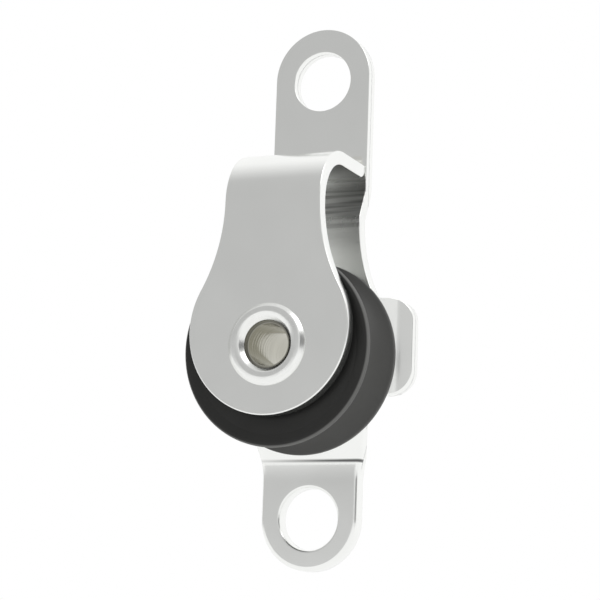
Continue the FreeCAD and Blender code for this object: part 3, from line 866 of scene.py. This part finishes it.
class BLOCK_OT_cheek(bpy.types.Operator):
    """Front cheek, bent back over the cord, and its weld bead"""

    bl_idname = "block.cheek"
    bl_label = "Front cheek"

    def outline(self, s, plate):
        middle = Vector((0, axle.z + plate.cheek_rise))
        neck = blend_centre(s.neck_half_width, plate.neck_blend, plate.cheek_radius, middle.y)
        pen = Pen("cheek_blank", "front", 0, cheek_high.z + PAST)
        pen.line(s.neck_half_width, cheek_high.z + PAST)
        pen.line(s.neck_half_width, neck.y)
        on_round = middle + (neck - middle).normalized() * plate.cheek_radius
        pen.arc(*neck, degrees_between(neck, pen.at, on_round))
        foot = Vector((0, middle.y - plate.cheek_radius))
        pen.arc(*middle, degrees_between(middle, pen.at, foot))
        pen.mirror()
        return pen.solid(0, BLOCK_DEPTH)

    def side_view(self, s):
        low = cheek_low.z - PAST
        back = front_face + s.thickness
        under = cheek_high.z - s.thickness
        pen = Pen("cheek_hook", "side", front_face, low)
        pen.path([
            (back, low, 0), (back, under, s.bend), (cheek_high.y, under, s.heel),
            (cheek_high.y, cheek_high.z, 0),
            (front_face, cheek_high.z, s.bend + s.thickness),
        ])
        return pen.solid(-HALF_STRIP, HALF_STRIP)

    def weld(self, s, steel):
        """The bead in the corner between the plate and the cheek's end."""
        back, top = cheek_high.y, cheek_high.z
        pen = Pen("weld_dressed", "side", back, top)
        pen.line(back, top + s.weld_leg)
        pen.arc(back - s.weld_leg, top + s.weld_leg, -90)
        pen.line(back, top)
        half = s.neck_half_width - s.weld_inset
        weld = pen.solid(-half, half)
        smooth(weld)
        dress(weld, "housing", steel, "plate_steel", "weld_bead")

    def execute(self, context):
        s = context.scene.block_cheek
        plate = context.scene.block_plate
        cheek = self.side_view(s)
        combine(cheek, self.outline(s, plate), "INTERSECT")
        drill(cheek, axle.z, context.scene.block_turned.rivet_hole)
        break_edges(cheek, lambda place: s.edge, s.edge)
        smooth(cheek)
        cheek.name = "cheek_dressed"
        steel = sheet_steel(
            "cheek_sheet_steel", context.scene.block_finishes,
            lambda g, place: inside_hook(g, place, s),
        )
        dress(cheek, "housing", steel, "plate_steel", "front_cheek")
        self.weld(s, welded_steel(context.scene.block_finishes))
        return {"FINISHED"}


class BLOCK_OT_rivet(bpy.types.Operator):
    """Hollow rivet with a rolled head at each end"""

    bl_idname = "block.rivet"
    bl_label = "Rivet"

    def head(self, s, face, tip):
        """Corners of one head's section, from the bore to the shank, as depth, radius, rounding."""
        height = tip - face
        brim = rivet_high.x
        bore_end = face - math.copysign(s.mouth_depth, height)
        return [
            (bore_end, s.rivet_bore, 0),
            (bore_end, s.mouth, 0),
            (face, s.mouth, s.mouth_round),
            (face + s.inner_level * height, s.crest - s.inner_shoulder, s.inner_round),
            (tip, s.crest, s.crest_round),
            (face + s.outer_level * height, s.crest + s.outer_shoulder, s.outer_round),
            (face + s.brim_level * height, brim, s.brim_round),
            (face, brim, 0),
            (face, s.rivet_radius, 0),
        ]

    def execute(self, context):
        s = context.scene.block_turned
        back_face = mounting_face - context.scene.block_plate.stand_off
        section = self.head(s, front_face, rivet_low.y)
        section += reversed(self.head(s, back_face, rivet_high.y))
        corners = [(depth, axle.z + radius, rounding) for depth, radius, rounding in section]
        pen = Pen("rivet_dressed", "side", *corners[0][:2])
        pen.path(corners[1:])
        rivet = pen.turned()
        smooth(rivet, 30)
        steel = rivet_steel(context.scene.block_finishes, s)
        dress(rivet, "housing", steel, "rivet_steel", "hollow_rivet")
        return {"FINISHED"}


class BLOCK_OT_wheel(bpy.types.Operator):
    """Grooved wheel"""

    bl_idname = "block.wheel"
    bl_label = "Wheel"

    def execute(self, context):
        s = context.scene.block_turned
        radius = wheel_high.x
        hub = s.groove_root + s.groove_radius
        half_groove = math.sqrt(s.groove_radius ** 2 - (hub - radius) ** 2)
        swing = 2 * math.degrees(math.asin(half_groove / s.groove_radius))
        front, back = wheel_low.y, wheel_high.y
        half_track = math.sqrt(s.ball_track ** 2 - (s.wheel_bore - s.ball_circle) ** 2)
        roll = 2 * math.degrees(math.asin(half_track / s.ball_track))
        step = s.recess_radius - s.recess_slope
        pen = Pen("wheel_dressed", "side", front + s.recess, axle.z + s.wheel_bore)
        pen.path([
            (front + s.recess, axle.z + step, s.recess_round),
            (front, axle.z + s.recess_radius, s.recess_round),
            (front, axle.z + radius, s.rim_round),
        ], (axle.y - half_groove, axle.z + radius))
        pen.arc(axle.y, axle.z + hub, swing)
        pen.path([
            (back, axle.z + radius, s.rim_round),
            (back, axle.z + s.recess_radius, s.recess_round),
            (back - s.recess, axle.z + step, s.recess_round),
            (back - s.recess, axle.z + s.wheel_bore, 0),
        ], (axle.y + half_track, axle.z + s.wheel_bore))
        pen.arc(axle.y, axle.z + s.ball_circle, roll)
        pen.path([])
        wheel = pen.turned()
        break_edges(wheel, lambda place: s.groove_edge, s.groove_edge)
        smooth(wheel, 30)
        plastic = black_plastic(context.scene.block_finishes)
        dress(wheel, "sheave", plastic, "wheel_plastic", "wheel")
        return {"FINISHED"}


class BLOCK_OT_bearing(bpy.types.Operator):
    """Finish of the races and balls, which stay as the frame has them"""

    bl_idname = "block.bearing"
    bl_label = "Bearing"

    def execute(self, context):
        finishes = context.scene.block_finishes
        race = race_steel(finishes)
        ball = ball_steel(finishes)
        for names, material in ((("front_race", "rear_race"), race), (BALLS, ball)):
            for name in names:
                node = frame["nodes"][name]
                node.data.materials.clear()
                node.data.materials.append(material)
        return {"FINISHED"}


class BLOCK_OT_stage(bpy.types.Operator):
    """Floor, soft lights, white surroundings and the camera"""

    bl_idname = "block.stage"
    bl_label = "Stage"

    def floor(self, s):
        bpy.ops.object.select_all(action="DESELECT")
        bpy.ops.mesh.primitive_plane_add(size=s.floor_width, location=(0, 0, -s.floor_drop))
        floor = bpy.context.object
        floor.name = "pale_floor"
        material, g = new_material("pale_floor_paint")
        clouds = g.noise(g.place(), 3.0)
        tone = g.blend(clouds, (0.88, 0.88, 0.87, 1.0), (0.92, 0.92, 0.91, 1.0))
        sockets = {"Base Color": tone, "Roughness": 0.7, "Specular IOR Level": 0.2}
        matt = g.add("ShaderNodeBsdfPrincipled", {}, sockets)
        white = g.add("ShaderNodeEmission", {}, {"Strength": s.studio_light})
        mirrored = g.add("ShaderNodeLightPath", {}, {}, "Is Glossy Ray")
        surface = g.add("ShaderNodeMixShader", {}, {0: mirrored, 1: matt, 2: white})
        g.add("ShaderNodeOutputMaterial", {}, {"Surface": surface})
        floor.data.materials.append(material)

    def surroundings(self, s):
        """White to the camera. To all else, a white backdrop behind and right in a grey room.

        A dark flag stands in front on the right.
        """
        world = bpy.data.worlds.new("white_studio")
        bpy.context.scene.world = world
        world.use_nodes = True
        g = Graph(world.node_tree)
        direction = g.add("ShaderNodeTexCoord", {}, {}, "Generated")
        right = g.ramp(g.axis(direction, "X"), [(0.0, 0.0), (0.12, 0.15), (0.35, 0.25), (0.5, 1.0)])
        back_and_up = g.axis(direction, "Y") + 0.7 * g.axis(direction, "Z")
        behind = g.ramp(back_and_up, [(0.08, 0.0), (0.84, 1.0)])
        sockets = {0: direction, 1: s.flag_direction.normalized()}
        toward_flag = g.add("ShaderNodeVectorMath", {"operation": "DOT_PRODUCT"}, sockets, "Value")
        shaded = g.ramp(toward_flag, [(0.89, 0.0), (0.94, 1.0)])
        backdrop = 1.0 - (1.0 - right) * (1.0 - behind)
        lit = s.room_light + (s.studio_light - s.room_light) * backdrop
        level = lit - s.flag_shade * shaded
        seen = g.add("ShaderNodeLightPath", {}, {}, "Is Camera Ray")
        tone = g.blend(seen, level, (1.0, 1.0, 1.0, 1.0))
        light = g.add("ShaderNodeBackground", {}, {"Color": tone, "Strength": 1.0})
        g.add("ShaderNodeOutputWorld", {}, {"Surface": light})

    def key_lamp(self, s):
        """A soft lamp turned to the wheel."""
        turn = (axle - s.key_place).to_track_quat("-Z", "Y").to_euler()
        bpy.ops.object.light_add(type="AREA", location=s.key_place, rotation=turn)
        lamp = bpy.context.object
        lamp.name = "soft_key"
        lamp.data.size = s.key_width
        lamp.data.energy = s.key_light * math.pi * s.key_width ** 2

    def camera(self, s):
        azimuth, elevation = s.azimuth, s.elevation
        forward = Vector((
            -math.sin(azimuth) * math.cos(elevation),
            math.cos(azimuth) * math.cos(elevation),
            -math.sin(elevation),
        ))
        level = forward.to_track_quat("-Z", "Y").to_matrix()
        turn = (level @ Matrix.Rotation(s.roll, 3, "Z")).to_euler()
        bpy.ops.object.camera_add(location=s.camera_place, rotation=turn)
        camera = bpy.context.object
        camera.name = "camera"
        camera.data.lens = s.lens
        camera.data.sensor_width = 36.0
        camera.data.clip_start = 0.001
        camera.data.clip_end = 20.0
        bpy.context.scene.camera = camera

    def execute(self, context):
        s = context.scene.block_stage
        self.floor(s)
        self.surroundings(s)
        self.key_lamp(s)
        self.camera(s)
        context.scene.view_settings.view_transform = "Standard"
        return {"FINISHED"}


class BLOCK_PT_panel(bpy.types.Panel):
    """A button for each piece and the stage"""

    bl_label = "Ball Bearing Block"
    bl_idname = "BLOCK_PT_panel"
    bl_space_type = "VIEW_3D"
    bl_region_type = "UI"
    bl_category = "Block"

    def draw(self, context):
        for operator in OPERATORS:
            self.layout.operator(operator.bl_idname)


GROUPS = {
    "block_plate": BlockPlateSizes,
    "block_cheek": BlockCheekSizes,
    "block_turned": BlockTurnedSizes,
    "block_finishes": BlockFinishes,
    "block_stage": BlockStage,
}
OPERATORS = (
    BLOCK_OT_plate,
    BLOCK_OT_cheek,
    BLOCK_OT_rivet,
    BLOCK_OT_wheel,
    BLOCK_OT_bearing,
    BLOCK_OT_stage,
)


def register():
    for name, group in GROUPS.items():
        bpy.utils.register_class(group)
        setattr(bpy.types.Scene, name, PointerProperty(type=group))
    for item in OPERATORS + (BLOCK_PT_panel,):
        bpy.utils.register_class(item)


def unregister():
    for item in (BLOCK_PT_panel,) + OPERATORS[::-1]:
        bpy.utils.unregister_class(item)
    for name, group in GROUPS.items():
        delattr(bpy.types.Scene, name)
        bpy.utils.unregister_class(group)


def main():
    register()
    for operator in OPERATORS:
        kind, name = operator.bl_idname.split(".")
        getattr(getattr(bpy.ops, kind), name)()


if __name__ == "__main__":
    main()
